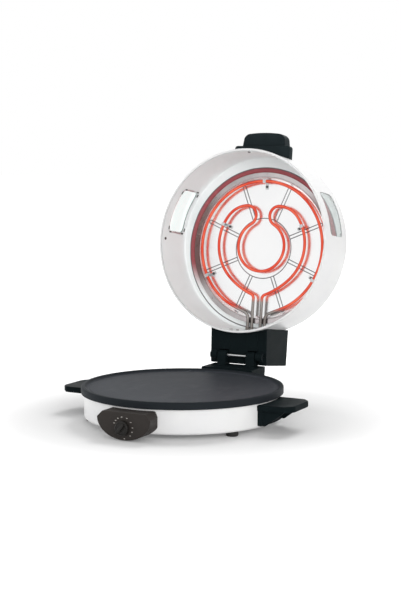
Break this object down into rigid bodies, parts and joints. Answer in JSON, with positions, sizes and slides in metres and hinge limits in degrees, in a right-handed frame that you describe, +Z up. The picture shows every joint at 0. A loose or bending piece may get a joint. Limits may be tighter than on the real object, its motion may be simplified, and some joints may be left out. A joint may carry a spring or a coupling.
{
  "type": "electric roti maker",
  "caption": "Round electric flatbread cooker: coated hot plate in a white base, deep hinged lid with heating tubes and side windows, and a front control knob.",
  "frame": {"origin": "on the table, under the middle of the object's outline with the lid open at its stop", "axes": "+Z up, -Y towards the cook, where the knob is, +X to the cook's right"},
  "size_m": [0.522, 0.6609, 0.5774],
  "materials": {
    "white_enamel": "gloss white stove enamel",
    "nonstick_plate": "cast aluminium with dark grey non-stick coating",
    "zinc_plated_steel": "zinc plated",
    "aluminised_steel": "bright aluminised sheet",
    "polished_trim": "polished",
    "heater_sheath": "oxidised heater sheath, glowing red when hot",
    "black_rubber": "matt black",
    "black_phenolic": "satin black moulding",
    "dark_pod_plastic": "satin brown-black moulding",
    "ceramic": "cream steatite",
    "copper_tube": "drawn copper",
    "lead_insulation": "white glass-fibre sleeve",
    "window_glass": "clear tempered"
  },
  "bodies": {
    "base": {"base_shell": "white_enamel", "bottom_cover": "zinc_plated_steel", "bottom_screws": "zinc_plated_steel", "cooking_plate": "nonstick_plate", "plate_studs": "zinc_plated_steel", "stud_nuts": "zinc_plated_steel", "reflector_spacers": "zinc_plated_steel", "lower_heater": "heater_sheath", "heater_straps": "zinc_plated_steel", "strap_nuts": "zinc_plated_steel", "lower_reflector": "aluminised_steel", "front_left_foot": "black_rubber", "front_right_foot": "black_rubber", "rear_left_foot": "black_rubber", "rear_right_foot": "black_rubber", "foot_screws": "zinc_plated_steel", "left_side_handle": "black_phenolic", "right_side_handle": "black_phenolic", "side_handle_screws": "zinc_plated_steel", "control_pod": "dark_pod_plastic", "pod_screws": "zinc_plated_steel", "thermostat": "ceramic", "thermostat_bulb": "copper_tube", "thermostat_screws": "zinc_plated_steel", "terminal_block": "ceramic", "base_leads": "lead_insulation", "cord_gland": "black_rubber", "hinge_support": "black_phenolic", "hinge_support_screws": "zinc_plated_steel"},
    "lid": {"lid_shell": "white_enamel", "lid_liner": "aluminised_steel", "reflector_ring": "polished_trim", "reflector_pan": "aluminised_steel", "pan_rivets": "zinc_plated_steel", "upper_outer_heater": "heater_sheath", "upper_inner_heater": "heater_sheath", "heater_clips": "zinc_plated_steel", "clip_screws": "zinc_plated_steel", "heater_bushes": "ceramic", "left_window_glass": "window_glass", "right_window_glass": "window_glass", "left_window_frame": "polished_trim", "right_window_frame": "polished_trim", "liner_screws": "zinc_plated_steel", "lid_handle": "black_phenolic", "lid_handle_screws": "zinc_plated_steel", "hinge_block": "black_phenolic", "hinge_block_screws": "zinc_plated_steel", "lid_terminals": "ceramic", "hinge_pin": "zinc_plated_steel"},
    "knob": {"control_knob": "dark_pod_plastic", "knob_spindle": "zinc_plated_steel"}
  },
  "joints": [
    {"name": "lid_hinge", "type": "hinge", "parent": "base", "child": "lid", "pos_m": [0, 0.16398, 0.0965], "axis": [1, 0, 0], "range_deg": [0, 98]},
    {"name": "knob_turn", "type": "hinge", "parent": "base", "child": "knob", "pos_m": [0, -0.32752, 0.0255], "axis": [0, 1, 0], "range_deg": [0, 285]}
  ]
}
